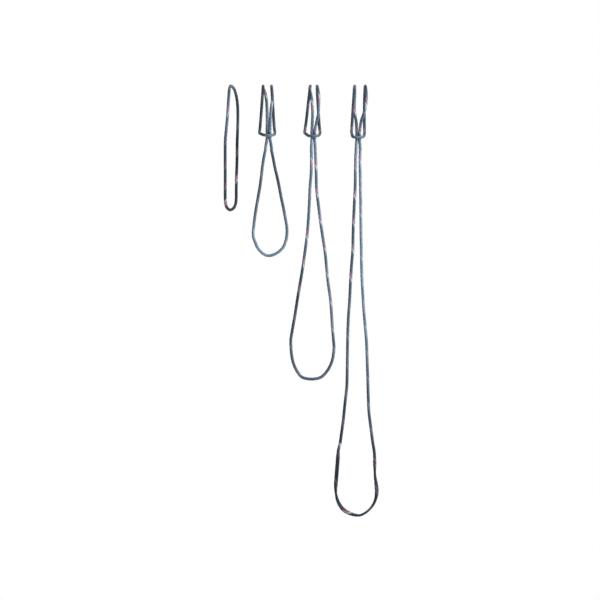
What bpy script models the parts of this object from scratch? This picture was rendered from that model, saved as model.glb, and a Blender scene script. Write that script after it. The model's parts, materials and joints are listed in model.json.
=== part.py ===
"""A set of four anchor slings in graded lengths, hung round one round anchor.

Each sling is an endless loop of braided cord, a sheath over a core that carries the load. The
shortest is draped over the anchor. The other three are girth-hitched to it: both strands go up
the front, over the crest and down the back, and their bight comes forward under the anchor as
a collar round the sling's own legs. The longest shows its splice at the foot of the loop.

Metres, +Z up. The origin is on the anchor's axis, +X runs along that axis and -Y is the front.
"""

import math

import bmesh
import bpy
from mathutils import Vector

# The cord
CORD_DIAMETER = 0.0060
CORE_DIAMETER = 0.0034
CORE_CLEARANCE = 0.0003
FACE_GAP = 0.0003

# The anchor that the slings are made for
ANCHOR_DIAMETER = 0.0950
ANCHOR_CLEARANCE = 0.0003

# Where each sling hangs along the anchor, as shares of the spacing
SLING_SPACING = 0.0986
SLING_1_STATION_SHARE = -1.540
SLING_2_STATION_SHARE = -0.705
SLING_3_STATION_SHARE = 0.294
SLING_4_STATION_SHARE = 1.294

# How far each sling reaches below the anchor's axis, to the middle of its cord
SLING_1_REACH = 0.2215
SLING_2_REACH = 0.3227
SLING_3_REACH = 0.5942
SLING_4_REACH = 0.8939

# The widest that each sling strays sideways from its station
SLING_1_SPREAD = 0.0139
SLING_2_SPREAD = 0.0407
SLING_3_SPREAD = 0.0495
SLING_4_SPREAD = 0.0493

# The girth hitch: how far in front of the axis the collar crosses the legs, how far that is
# below each sling's wraps, and the short neck under it with half its legs' distance at the foot
CHOKE_DEPTH = 0.0200
CHOKE_2_HANG = 0.0058
CHOKE_3_HANG = 0.0073
CHOKE_4_HANG = 0.0098
PIVOT_DROP = 0.0070
NECK_LENGTH = 0.0230
NECK_2_OPENING = 0.0065
NECK_3_OPENING = 0.0043
NECK_4_OPENING = 0.0047
END_STUB = 0.0020

# The splice, where both ends of the core lie side by side under a flat cover
SPLICE_HALF_WIDTH = 0.0046
SPLICE_HALF_THICKNESS = 0.0029
SPLICE_WALL = 0.0010
SPLICE_TAPER = 0.0180
SPLICE_TAIL_DIAMETER = 0.0030

# How finely a cord is drawn
LONG_STEP = 0.0300
SPLICE_STEP = 0.0100
TURN_STEP = math.radians(22)
SPLINE_SAMPLES = 40
CORD_BEVEL_RESOLUTION = 2
SPLICE_SIDES = 12

CORD_RADIUS = CORD_DIAMETER / 2
CORE_RADIUS = CORE_DIAMETER / 2
SHEATH_WALL = CORD_RADIUS - CORE_RADIUS - CORE_CLEARANCE
# The straight runs between a wrap's rings touch the anchor's clearance, so the rings lie outside
WRAP_RADIUS = (ANCHOR_DIAMETER / 2 + ANCHOR_CLEARANCE + CORD_RADIUS) / math.cos(TURN_STEP / 2)

# A wrap's route: degrees round the anchor from its underside by way of the front, and cord
# diameters to the right of the sling's station
LEFT_WRAP_2_SHARES = [
    (60, -0.46), (85, -0.50), (106, -0.66), (126, -1.05), (152, -1.95), (180, -2.05),
    (208, -2.15), (236, -2.40), (264, -2.70), (292, -3.00), (320, -3.25), (342, -3.45),
]
RIGHT_WRAP_2_SHARES = [
    (60, 0.68), (85, 0.95), (114, 1.47), (134, 1.33), (152, 1.17), (180, 1.03),
    (208, 1.10), (236, 1.30), (264, 1.55), (292, 1.80), (320, 2.05), (342, 2.25),
]
LEFT_WRAP_3_SHARES = [
    (60, -0.34), (72, -0.26), (90, -0.33), (108, -0.50), (126, -0.90), (145, -1.32),
    (180, -1.13), (208, -1.25), (236, -1.60), (264, -2.05), (292, -2.50), (320, -2.95),
    (342, -3.20),
]
RIGHT_WRAP_3_SHARES = [
    (60, 1.35), (73, 1.74), (90, 1.90), (120, 2.02), (145, 1.70), (180, 1.40),
    (208, 1.45), (236, 1.60), (264, 1.85), (292, 2.10), (320, 2.35), (342, 2.50),
]
LEFT_WRAP_4_SHARES = [
    (60, -0.85), (73, -1.22), (90, -1.42), (109, -1.38), (131, -1.25), (155, -1.22),
    (180, -1.25), (208, -1.30), (236, -1.45), (264, -1.70), (292, -1.95), (320, -2.20),
    (342, -2.35),
]
RIGHT_WRAP_4_SHARES = [
    (60, 1.15), (73, 1.80), (90, 2.50), (109, 2.90), (131, 2.92), (155, 2.75),
    (180, 2.65), (208, 2.60), (236, 2.55), (264, 2.50), (292, 2.50), (320, 2.50),
    (342, 2.45),
]

# A collar's route from left to right: cord diameters right of the station, behind the choke and
# above it
COLLAR_2_SHARES = [
    (-3.35, 4.60, 1.05), (-2.75, 2.10, 0.55), (-2.20, 0.74, 0.25), (-1.86, -0.13, 0.08),
    (-1.18, -0.93, -0.05), (0.00, -1.31, -0.12), (1.18, -0.93, -0.05), (1.86, -0.13, 0.10),
    (2.10, 0.74, 0.28), (2.19, 2.10, 0.58), (2.25, 4.60, 1.05),
]
COLLAR_3_SHARES = [
    (-3.05, 4.60, 1.27), (-2.55, 2.10, 0.68), (-2.15, 0.74, 0.30), (-1.86, -0.13, 0.08),
    (-1.18, -0.93, -0.06), (0.00, -1.31, -0.14), (1.18, -0.93, -0.06), (1.86, -0.13, 0.10),
    (2.11, 0.74, 0.30), (2.28, 2.10, 0.68), (2.45, 4.60, 1.27),
]
COLLAR_4_SHARES = [
    (-2.30, 4.60, 1.61), (-2.19, 2.10, 0.83), (-2.08, 0.74, 0.36), (-1.85, -0.13, 0.08),
    (-1.18, -0.93, -0.14), (0.00, -1.31, -0.22), (1.18, -0.93, -0.14), (1.85, -0.13, 0.08),
    (2.09, 0.74, 0.36), (2.26, 2.10, 0.83), (2.40, 4.60, 1.61),
]
# Each leg's route up through the collar: cord diameters behind the choke and above it
THROAT_SHARES = [(-0.13, 0.42), (-0.47, 1.02), (-1.05, 1.68)]
LEG_SHARE = 0.545

# A loop's route from its left join round to its right one: sideways as shares of its spread,
# and down as shares of its reach below the join
LOOP_2_SHARES = [
    (-0.19, 0.03), (-0.25, 0.08), (-0.33, 0.17), (-0.39, 0.26), (-0.46, 0.35), (-0.56, 0.45),
    (-0.65, 0.54), (-0.74, 0.64), (-0.80, 0.73), (-0.83, 0.78), (-0.81, 0.83), (-0.73, 0.87),
    (-0.61, 0.92), (-0.43, 0.96), (-0.21, 0.99), (0.00, 1.00), (0.22, 0.994), (0.44, 0.977),
    (0.65, 0.95), (0.80, 0.92), (0.92, 0.87), (0.98, 0.82), (1.00, 0.78), (0.99, 0.73),
    (0.90, 0.64), (0.79, 0.54), (0.68, 0.45), (0.57, 0.35), (0.46, 0.26), (0.34, 0.17),
    (0.24, 0.08), (0.18, 0.03),
]
LOOP_3_SHARES = [
    (-0.084, 0.02), (-0.085, 0.06), (-0.092, 0.10), (-0.116, 0.13), (-0.146, 0.165),
    (-0.175, 0.235), (-0.219, 0.305), (-0.27, 0.37), (-0.37, 0.445), (-0.47, 0.515),
    (-0.59, 0.585), (-0.71, 0.655), (-0.82, 0.724), (-0.945, 0.794), (-1.00, 0.829),
    (-0.99, 0.864), (-0.955, 0.90), (-0.875, 0.934), (-0.70, 0.969), (-0.52, 0.99),
    (-0.34, 0.997), (-0.075, 1.00), (0.19, 0.997), (0.37, 0.99), (0.55, 0.973),
    (0.72, 0.948), (0.85, 0.915), (0.92, 0.864), (0.895, 0.829), (0.84, 0.76),
    (0.765, 0.655), (0.665, 0.585), (0.59, 0.515), (0.52, 0.445), (0.41, 0.375),
    (0.31, 0.305), (0.22, 0.235), (0.142, 0.165), (0.128, 0.10), (0.112, 0.06), (0.096, 0.02),
]
LEFT_LEG_4_SHARES = [
    (-0.110, 0.016), (-0.118, 0.038), (-0.122, 0.06), (-0.134, 0.104), (-0.17, 0.147),
    (-0.203, 0.191), (-0.228, 0.235), (-0.235, 0.27), (-0.30, 0.32), (-0.344, 0.366),
    (-0.38, 0.41), (-0.43, 0.454), (-0.455, 0.487), (-0.477, 0.553), (-0.491, 0.618),
    (-0.51, 0.65), (-0.59, 0.695), (-0.665, 0.74), (-0.76, 0.783), (-0.812, 0.805),
]
SPLICE_4_SHARES = [
    (-0.879, 0.821), (-0.91, 0.848), (-0.968, 0.892), (-1.00, 0.922), (-0.982, 0.943),
    (-0.884, 0.964), (-0.736, 0.979), (-0.558, 0.989), (-0.357, 0.995), (-0.156, 0.999),
    (0.067, 1.000), (0.268, 0.995), (0.469, 0.986), (0.647, 0.973), (0.772, 0.957),
    (0.83, 0.936), (0.803, 0.914), (0.754, 0.892), (0.741, 0.861), (0.736, 0.842),
]
RIGHT_LEG_4_SHARES = [
    (0.715, 0.824), (0.66, 0.803), (0.57, 0.761), (0.484, 0.717), (0.451, 0.673),
    (0.428, 0.618), (0.393, 0.553), (0.37, 0.52), (0.308, 0.476), (0.248, 0.432),
    (0.205, 0.388), (0.161, 0.332), (0.147, 0.279), (0.129, 0.224), (0.12, 0.169),
    (0.108, 0.114), (0.100, 0.082), (0.092, 0.06), (0.087, 0.038), (0.086, 0.016),
]
# How the splice's flat cover twists: shares of its length, and turns about its own line
SPLICE_TWIST_SHARES = [
    (0.00, 0.00), (0.14, 0.01), (0.22, 0.03), (0.30, 0.25), (0.36, 0.37), (0.45, 0.52),
    (0.54, 0.72), (0.66, 0.76), (0.71, 0.81), (0.78, 1.00), (0.84, 1.17), (0.92, 1.28),
    (1.00, 1.50),
]

# The draped sling's route: degrees round the anchor with shares of its spread, then for its
# legs shares of its spread, of the wrap's radius (front to back) and of its reach
FRONT_WRAP_1_SHARES = [(180, -0.02), (150, -0.24), (120, -0.33), (95, -0.42)]
LEGS_1_SHARES = [
    (-0.54, -0.990, 0.090), (-0.71, -0.965, 0.210), (-0.86, -0.930, 0.310),
    (-0.90, -0.850, 0.510), (-0.90, -0.740, 0.680), (-0.92, -0.620, 0.800),
    (-0.92, -0.485, 0.890), (-0.86, -0.340, 0.945), (-0.66, -0.180, 0.980),
    (-0.20, 0.000, 1.000), (0.32, 0.180, 0.982), (0.63, 0.340, 0.946),
    (0.74, 0.485, 0.890), (0.74, 0.620, 0.800), (0.76, 0.740, 0.680),
    (0.84, 0.850, 0.510), (0.87, 0.930, 0.310), (0.92, 0.965, 0.210),
    (0.97, 0.990, 0.090),
]
BACK_WRAP_1_SHARES = [(265, 0.95), (240, 0.82), (210, 0.48), (181, 0.00)]

# A leg's rounded top: shares of its radius, up from the pivot and across
BALL_SHARES = [(0.97, 0.24), (0.866, 0.50), (0.50, 0.866)]

SHEATH_COLOUR = (0.175, 0.245, 0.320, 1.0)
CORE_COLOUR = (0.780, 0.790, 0.770, 1.0)


def clear_scene():
    for obj in list(bpy.data.objects):
        bpy.data.objects.remove(obj, do_unlink=True)


def material(name, colour, roughness):
    made = bpy.data.materials.new(name)
    made.use_nodes = True
    shader = made.node_tree.nodes["Principled BSDF"]
    shader.inputs["Base Color"].default_value = colour
    shader.inputs["Roughness"].default_value = roughness
    shader.inputs["Metallic"].default_value = 0.0
    made.diffuse_color = colour
    return made


def smooth_line(route):
    """Closely spaced points on a smooth curve through a route (a centripetal spline)."""
    route = [2 * route[0] - route[1]] + route + [2 * route[-1] - route[-2]]
    line = []
    for p0, p1, p2, p3 in zip(route, route[1:], route[2:], route[3:]):
        t1 = math.sqrt((p1 - p0).length)
        t2 = t1 + math.sqrt((p2 - p1).length)
        t3 = t2 + math.sqrt((p3 - p2).length)
        for k in range(SPLINE_SAMPLES):
            t = t1 + (t2 - t1) * k / SPLINE_SAMPLES
            a1 = p0.lerp(p1, t / t1)
            a2 = p1.lerp(p2, (t - t1) / (t2 - t1))
            a3 = p2.lerp(p3, (t - t2) / (t3 - t2))
            b1 = a1.lerp(a2, t / t2)
            b2 = a2.lerp(a3, (t - t1) / (t3 - t1))
            line.append(b1.lerp(b2, (t - t1) / (t2 - t1)))
    line.append(route[-2])
    return line


def length_of(line):
    return sum((b - a).length for a, b in zip(line, line[1:]))


def ring_places(line):
    """The points of a line at which its tube has rings, closer together where it bends."""
    kept = [line[0]]
    heading = (line[1] - line[0]).normalized()
    run = 0.0
    for before, here, after in zip(line, line[1:], line[2:]):
        run += (here - before).length
        way = (after - here).normalized()
        if way.angle(heading) >= TURN_STEP or run >= LONG_STEP:
            kept.append(here)
            heading = way
            run = 0.0
    if run < CORD_RADIUS and len(kept) > 1:
        kept.pop()
    return kept + [line[-1]]


def even_places(line, step):
    """Points of a line at even distances of about step, its ends among them."""
    count = max(2, round(length_of(line) / step))
    even = length_of(line) / count
    kept = [line[0]]
    run = 0.0
    for a, b in zip(line, line[1:]):
        run += (b - a).length
        if run >= even * len(kept) and len(kept) < count:
            kept.append(b)
    return kept + [line[-1]]


def pivot_empty(name, place, collection, parent=None):
    """An empty on a joint's axis, which carries the pieces that move about it."""
    made = bpy.data.objects.new(name, None)
    made.location = place - parent.location if parent else place
    made.parent = parent
    collection.objects.link(made)
    bpy.context.view_layer.update()
    return made


def tube(name, places, radius, surface, collection, carrier=None, wall=None, shares=None):
    """A cord's tube along places: solid with filled ends, or a wall that is open at both."""
    origin = carrier.matrix_world.translation if carrier else Vector()
    curve = bpy.data.curves.new(name, "CURVE")
    curve.dimensions = "3D"
    curve.bevel_depth = radius
    curve.bevel_resolution = CORD_BEVEL_RESOLUTION
    curve.use_fill_caps = wall is None
    curve.materials.append(surface)
    spline = curve.splines.new("POLY")
    spline.points.add(len(places) - 1)
    spline.use_smooth = True
    for i, place in enumerate(places):
        spline.points[i].co = (*(place - origin), 1.0)
        spline.points[i].radius = shares[i] if shares else 1.0
    made = bpy.data.objects.new(name, curve)
    made.parent = carrier
    if wall is not None:
        shell = made.modifiers.new("wall", "SOLIDIFY")
        shell.thickness = wall
        shell.offset = -1.0
    collection.objects.link(made)
    return made


def cord(name, places, look, carrier=None):
    """One stretch of cord: its hollow sheath, and the core inside it."""
    tube(name + "_sheath", places, CORD_RADIUS, look.sheath, look.parts, carrier, SHEATH_WALL)
    tube(name + "_core", places, CORE_RADIUS, look.core, look.parts, carrier)


class Look:
    """The two surfaces, and the collection that the pieces go in."""

    def __init__(self, parts):
        self.parts = parts
        self.sheath = material("braided_sheath", SHEATH_COLOUR, 0.62)
        self.core = material("core_fibre", CORE_COLOUR, 0.50)


class Hitched:
    """One girth-hitched sling: its sizes, its places and the routes of its cord."""

    def __init__(self, number, station_share, reach, spread, hang, opening, wraps, collar):
        self.name = f"sling_{number}"
        self.number = number
        self.station = station_share * SLING_SPACING
        self.spread = spread
        self.opening = opening
        self.left_wrap, self.right_wrap = wraps
        self.collar = collar
        self.choke = Vector((self.station, -CHOKE_DEPTH, -WRAP_RADIUS - hang))
        self.pivot = self.choke - Vector((0, 0, PIVOT_DROP))
        self.join = self.pivot - Vector((0, 0, NECK_LENGTH))
        self.drop = reach + self.join.z

    def wrap(self, shares):
        return [round_anchor(turn, self.station + side * CORD_DIAMETER) for turn, side in shares]

    def throat(self, side):
        """One leg's end over the pivot, and its way up through the collar."""
        end = self.pivot + Vector((side * CORD_DIAMETER, 0, CORD_RADIUS + FACE_GAP))
        rise = [end, end + Vector((0, 0, END_STUB))]
        for back, up in THROAT_SHARES:
            rise.append(self.choke + Vector((side, back, up)) * CORD_DIAMETER)
        return rise

    def hitch_route(self):
        """From the left leg up and round, through the collar, and back to the right leg."""
        collar = [self.choke + Vector(place) * CORD_DIAMETER for place in self.collar]
        left = self.throat(-LEG_SHARE) + self.wrap(self.left_wrap)
        right = self.throat(LEG_SHARE) + self.wrap(self.right_wrap)
        return left + collar + right[::-1]

    def below(self, shares):
        """Places on the loop."""
        return [self.join + Vector((x * self.spread, 0, -z * self.drop)) for x, z in shares]

    def loop_end(self, side):
        """A leg's end under the join, and the end of its short straight stub."""
        end = self.join + Vector((side * self.opening, 0, -FACE_GAP / 2))
        return [end, end - Vector((0, 0, END_STUB))]


def round_anchor(turn, x):
    """A point on a wrap, turn degrees from the anchor's underside by way of its front."""
    angle = math.radians(turn)
    return Vector((x, -WRAP_RADIUS * math.sin(angle), -WRAP_RADIUS * math.cos(angle)))


def with_stubs(route):
    """Ring places along a route whose first and last runs stay straight."""
    line = smooth_line(route[1:-1])
    return [route[0]] + ring_places(line) + [route[-1]], line


def hitch(sling, look):
    """The girth hitch: one unbroken cord that stays on the anchor."""
    places, line = with_stubs(sling.hitch_route())
    cord(sling.name + "_hitch", places, look)
    return line


def neck(sling, look):
    """The legs' short run under the collar. Each leg's round top turns about the pivot."""
    swing = pivot_empty(f"neck_{sling.number}_pivot", sling.pivot, look.parts)
    foot = sling.join.z + FACE_GAP / 2
    for side, word in ((-1, "left"), (1, "right")):
        top = sling.pivot + Vector((side * LEG_SHARE * CORD_DIAMETER, 0, 0))
        end = Vector((sling.station + side * sling.opening, top.y, foot))
        stub = end + Vector((0, 0, END_STUB))
        run = [top, top.lerp(stub, 0.5), stub, end]
        shares = [across for _, across in BALL_SHARES] + [1.0] * len(run)
        for kind, radius, surface, wall in (
            ("sheath", CORD_RADIUS, look.sheath, SHEATH_WALL),
            ("core", CORE_RADIUS, look.core, None),
        ):
            ball = [top + Vector((0, 0, up * radius)) for up, _ in BALL_SHARES]
            name = f"{sling.name}_neck_{word}_{kind}"
            tube(name, ball + run, radius, surface, look.parts, swing, wall, shares)
    return pivot_empty(f"loop_{sling.number}_pivot", sling.join, look.parts, swing)


def plain_loop(sling, shares, turn, look):
    """A loop whose cord runs unbroken from the left join to the right one."""
    route = sling.loop_end(-1) + sling.below(shares) + sling.loop_end(1)[::-1]
    places, line = with_stubs(route)
    cord(sling.name + "_loop", places, look, turn)
    return line


def twist_at(share):
    """Turns of the splice's cover at a share of its length."""
    for (s0, t0), (s1, t1) in zip(SPLICE_TWIST_SHARES, SPLICE_TWIST_SHARES[1:]):
        if share <= s1:
            return t0 + (t1 - t0) * (share - s0) / (s1 - s0)
    return SPLICE_TWIST_SHARES[-1][1]


def eased(share):
    share = min(1.0, max(0.0, share))
    return share * share * (3 - 2 * share)


class SpliceRing:
    """The splice's cover at one place: how wide it is, and which way it is turned."""

    def __init__(self, place, way, run, length):
        inward = Vector((0, 1, 0)).cross(way).normalized()
        angle = 2 * math.pi * twist_at(run / length)
        self.place = place
        self.way = way
        self.wide = inward * math.cos(angle) + Vector((0, 1, 0)) * math.sin(angle)
        self.thin = way.cross(self.wide).normalized()
        self.flat = eased(min(run, length - run) / SPLICE_TAPER)
        self.round_radius = CORD_RADIUS + (SPLICE_HALF_THICKNESS - CORD_RADIUS) * self.flat
        self.apart = (SPLICE_HALF_WIDTH - SPLICE_HALF_THICKNESS) * self.flat

    def outline(self, inset):
        """Two half circles, apart where the two cores lie side by side."""
        places = []
        radius = self.round_radius - inset
        for k in range(SPLICE_SIDES):
            angle = 2 * math.pi * (k + 0.5) / SPLICE_SIDES
            shift = math.copysign(self.apart, math.cos(angle))
            across = self.wide * (shift + radius * math.cos(angle))
            places.append(self.place + across + self.thin * (radius * math.sin(angle)))
        return places


def splice_rings(line):
    places = even_places(line, SPLICE_STEP)
    length = length_of(places)
    rings = []
    run = 0.0
    for i, place in enumerate(places):
        before = places[max(0, i - 1)]
        after = places[min(len(places) - 1, i + 1)]
        if i:
            run += (place - before).length
        rings.append(SpliceRing(place, (after - before).normalized(), run, length))
    return rings


def splice_cover(name, rings, carrier, look):
    """The cover: a loft from a round section to a flat one that twists, and back."""
    origin = carrier.matrix_world.translation
    mesh = bmesh.new()
    walls = []
    for inset in (0.0, SPLICE_WALL):
        rows = [[mesh.verts.new(p - origin) for p in ring.outline(inset)] for ring in rings]
        walls.append(rows)
    outer, inner = walls
    for k in range(SPLICE_SIDES):
        m = (k + 1) % SPLICE_SIDES
        for a, b in zip(outer, outer[1:]):
            mesh.faces.new((a[k], a[m], b[m], b[k]))
        for a, b in zip(inner, inner[1:]):
            mesh.faces.new((a[m], a[k], b[k], b[m]))
        mesh.faces.new((outer[0][m], outer[0][k], inner[0][k], inner[0][m]))
        mesh.faces.new((outer[-1][k], outer[-1][m], inner[-1][m], inner[-1][k]))
    bmesh.ops.recalc_face_normals(mesh, faces=mesh.faces)
    data = bpy.data.meshes.new(name)
    mesh.to_mesh(data)
    mesh.free()
    data.shade_smooth()
    data.materials.append(look.sheath)
    made = bpy.data.objects.new(name, data)
    made.parent = carrier
    look.parts.objects.link(made)


def spliced_loop(sling, turn, look):
    """The longest loop: two legs, the splice's cover, and two cores that overlap inside it."""
    left = sling.loop_end(-1) + sling.below(LEFT_LEG_4_SHARES)
    right = sling.below(RIGHT_LEG_4_SHARES) + sling.loop_end(1)[::-1]
    route = left[1:] + sling.below(SPLICE_4_SHARES) + right[:-1]
    line = smooth_line(route)
    first = SPLINE_SAMPLES * (len(left) - 1)
    last = SPLINE_SAMPLES * (len(left) + len(SPLICE_4_SHARES) - 2)
    left_line, splice_line, right_line = line[:first], line[first:last], line[last:]
    rings = splice_rings(splice_line)
    left_places = [left[0]] + up_to_splice(left_line, rings[0].place, rings[0].way)
    right_places = up_to_splice(right_line[::-1], rings[-1].place, -rings[-1].way)[::-1]
    right_places.append(right[-1])
    for word, places in (("left", left_places), ("right", right_places)):
        name = f"{sling.name}_{word}_leg_sheath"
        tube(name, places, CORD_RADIUS, look.sheath, look.parts, turn, SHEATH_WALL)
    splice_cover(sling.name + "_splice_cover", rings, turn, look)
    for word, places, side in (("left", left_places, 1), ("right", right_places[::-1], -1)):
        core_from(sling, word, places, rings if side == 1 else rings[::-1], side, turn, look)
    return line


def up_to_splice(line, face, way):
    """A leg's ring places, whose last straight stub meets the cover square on."""
    stub = face - way * (FACE_GAP + END_STUB)
    clear = [p for p in line if (p - face).length > CORD_DIAMETER]
    return ring_places(clear) + [stub, face - way * FACE_GAP]


def core_from(sling, word, places, rings, side, turn, look):
    """A leg's core, which moves aside in the splice and lies along the other leg's end."""
    tail_share = SPLICE_TAIL_DIAMETER / CORE_DIAMETER
    inside = rings[1:-3]
    aside = [ring.place + ring.wide * (side * ring.apart) for ring in inside]
    shares = [1.0 + (tail_share - 1.0) * ring.flat for ring in inside]
    name = f"{sling.name}_{word}_leg_core"
    full = [1.0] * len(places) + shares
    tube(name, places + aside, CORE_RADIUS, look.core, look.parts, turn, None, full)


def draped_sling(look):
    """The shortest sling: an endless loop over the anchor, one leg in front and one behind."""
    station = SLING_1_STATION_SHARE * SLING_SPACING
    place = Vector((station, 0, 0))
    swing = pivot_empty("sling_1_pivot", place, look.parts)
    route = []
    for turn, x in FRONT_WRAP_1_SHARES:
        route.append(round_anchor(turn, station + x * SLING_1_SPREAD))
    for x, y, z in LEGS_1_SHARES:
        leg = Vector((x * SLING_1_SPREAD, y * WRAP_RADIUS, -z * SLING_1_REACH))
        route.append(place + leg)
    for turn, x in BACK_WRAP_1_SHARES:
        route.append(round_anchor(turn, station + x * SLING_1_SPREAD))
    line = smooth_line(route)
    cord("sling_1", ring_places(line), look, swing)
    return line


def least_gap(lines):
    """The least gap between any two cords, or two far-apart stretches of one cord."""
    least = math.inf
    for i, line in enumerate(lines):
        for against in lines[i:]:
            runs = [0.0]
            for a, b in zip(against, against[1:]):
                runs.append(runs[-1] + (b - a).length)
            for j, a in enumerate(line):
                for k, b in enumerate(against):
                    if against is line and runs[k] - runs[j] < 3 * CORD_DIAMETER:
                        continue
                    least = min(least, (a - b).length)
    return least - CORD_DIAMETER


def main():
    clear_scene()
    parts = bpy.data.collections.new("anchor_slings")
    bpy.context.scene.collection.children.link(parts)
    look = Look(parts)
    hitched = [
        Hitched(2, SLING_2_STATION_SHARE, SLING_2_REACH, SLING_2_SPREAD, CHOKE_2_HANG,
                NECK_2_OPENING, (LEFT_WRAP_2_SHARES, RIGHT_WRAP_2_SHARES), COLLAR_2_SHARES),
        Hitched(3, SLING_3_STATION_SHARE, SLING_3_REACH, SLING_3_SPREAD, CHOKE_3_HANG,
                NECK_3_OPENING, (LEFT_WRAP_3_SHARES, RIGHT_WRAP_3_SHARES), COLLAR_3_SHARES),
        Hitched(4, SLING_4_STATION_SHARE, SLING_4_REACH, SLING_4_SPREAD, CHOKE_4_HANG,
                NECK_4_OPENING, (LEFT_WRAP_4_SHARES, RIGHT_WRAP_4_SHARES), COLLAR_4_SHARES),
    ]
    first = draped_sling(look)
    print(f"sling_1 cord {length_of(first):.4f} m")
    hitches = []
    for sling in hitched:
        wound = hitch(sling, look)
        hitches.append(wound[::10])
        turn = neck(sling, look)
        if sling.number == 4:
            loop = spliced_loop(sling, turn, look)
        else:
            shares = {2: LOOP_2_SHARES, 3: LOOP_3_SHARES}[sling.number]
            loop = plain_loop(sling, shares, turn, look)
        total = length_of(wound) + length_of(loop) + 2 * (PIVOT_DROP + NECK_LENGTH)
        print(f"{sling.name} cord {total:.4f} m, hitch {length_of(wound):.4f} m")
    print(f"least gap between cords at the hitches {1000 * least_gap(hitches):.2f} mm")


main()
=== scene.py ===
"""Dresses the set of four anchor slings: one draped, three girth-hitched, all of braided cord.

Every sling is one endless cord. Its line is worked out once, round the whole loop, so that the
braid runs on unbroken from the hitch through the neck into the loop and back.
"""

import json
import math

import bpy
import numpy as np
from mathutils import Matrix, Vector


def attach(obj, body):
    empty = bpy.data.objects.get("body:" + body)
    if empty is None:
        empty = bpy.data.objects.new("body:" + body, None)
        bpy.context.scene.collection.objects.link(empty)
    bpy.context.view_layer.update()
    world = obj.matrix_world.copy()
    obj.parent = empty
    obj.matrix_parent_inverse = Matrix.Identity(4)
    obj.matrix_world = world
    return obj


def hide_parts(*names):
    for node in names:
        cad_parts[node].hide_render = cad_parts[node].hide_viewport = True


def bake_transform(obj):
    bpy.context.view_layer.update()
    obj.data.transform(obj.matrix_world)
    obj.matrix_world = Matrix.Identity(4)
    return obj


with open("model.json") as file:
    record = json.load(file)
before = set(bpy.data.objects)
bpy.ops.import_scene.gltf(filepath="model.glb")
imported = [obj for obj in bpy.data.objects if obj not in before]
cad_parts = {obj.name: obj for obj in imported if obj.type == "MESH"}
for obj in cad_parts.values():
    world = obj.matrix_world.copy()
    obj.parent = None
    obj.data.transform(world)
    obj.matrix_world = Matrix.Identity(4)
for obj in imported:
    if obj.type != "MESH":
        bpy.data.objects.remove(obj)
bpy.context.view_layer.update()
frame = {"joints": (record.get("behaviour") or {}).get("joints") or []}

bl_info = {
    "name": "Anchor slings",
    "version": (1, 0, 0),
    "blender": (4, 5, 0),
    "location": "3D View > Sidebar > Slings",
    "description": "Braided anchor slings, draped and girth-hitched in a row",
    "category": "Add Mesh",
}

JOINT_PLACES = {joint["name"]: Vector(joint["pos_m"]) for joint in frame["joints"]}

# The cord's route, repeated from the solids' source
CORD_DIAMETER = 0.0060
FACE_GAP = 0.0003
ANCHOR_DIAMETER = 0.0950
ANCHOR_CLEARANCE = 0.0003
WRAP_TURN_STEP = math.radians(22)
WRAP_RADIUS = (ANCHOR_DIAMETER / 2 + ANCHOR_CLEARANCE + CORD_DIAMETER / 2) / math.cos(
    WRAP_TURN_STEP / 2
)
PIVOT_DROP = 0.0070
END_STUB = 0.0020
LEG_SHARE = 0.545
THROAT_SHARES = [(-0.13, 0.42), (-0.47, 1.02), (-1.05, 1.68)]

# A wrap: degrees round the anchor from its underside by way of the front, and cord diameters
# to the right of the sling's station
LEFT_WRAP_2_SHARES = [
    (60, -0.46), (85, -0.50), (106, -0.66), (126, -1.05), (152, -1.95), (180, -2.05),
    (208, -2.15), (236, -2.40), (264, -2.70), (292, -3.00), (320, -3.25), (342, -3.45),
]
RIGHT_WRAP_2_SHARES = [
    (60, 0.68), (85, 0.95), (114, 1.47), (134, 1.33), (152, 1.17), (180, 1.03),
    (208, 1.10), (236, 1.30), (264, 1.55), (292, 1.80), (320, 2.05), (342, 2.25),
]
LEFT_WRAP_3_SHARES = [
    (60, -0.34), (72, -0.26), (90, -0.33), (108, -0.50), (126, -0.90), (145, -1.32),
    (180, -1.13), (208, -1.25), (236, -1.60), (264, -2.05), (292, -2.50), (320, -2.95),
    (342, -3.20),
]
RIGHT_WRAP_3_SHARES = [
    (60, 1.35), (73, 1.74), (90, 1.90), (120, 2.02), (145, 1.70), (180, 1.40),
    (208, 1.45), (236, 1.60), (264, 1.85), (292, 2.10), (320, 2.35), (342, 2.50),
]
LEFT_WRAP_4_SHARES = [
    (60, -0.85), (73, -1.22), (90, -1.42), (109, -1.38), (131, -1.25), (155, -1.22),
    (180, -1.25), (208, -1.30), (236, -1.45), (264, -1.70), (292, -1.95), (320, -2.20),
    (342, -2.35),
]
RIGHT_WRAP_4_SHARES = [
    (60, 1.15), (73, 1.80), (90, 2.50), (109, 2.90), (131, 2.92), (155, 2.75),
    (180, 2.65), (208, 2.60), (236, 2.55), (264, 2.50), (292, 2.50), (320, 2.50),
    (342, 2.45),
]
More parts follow.
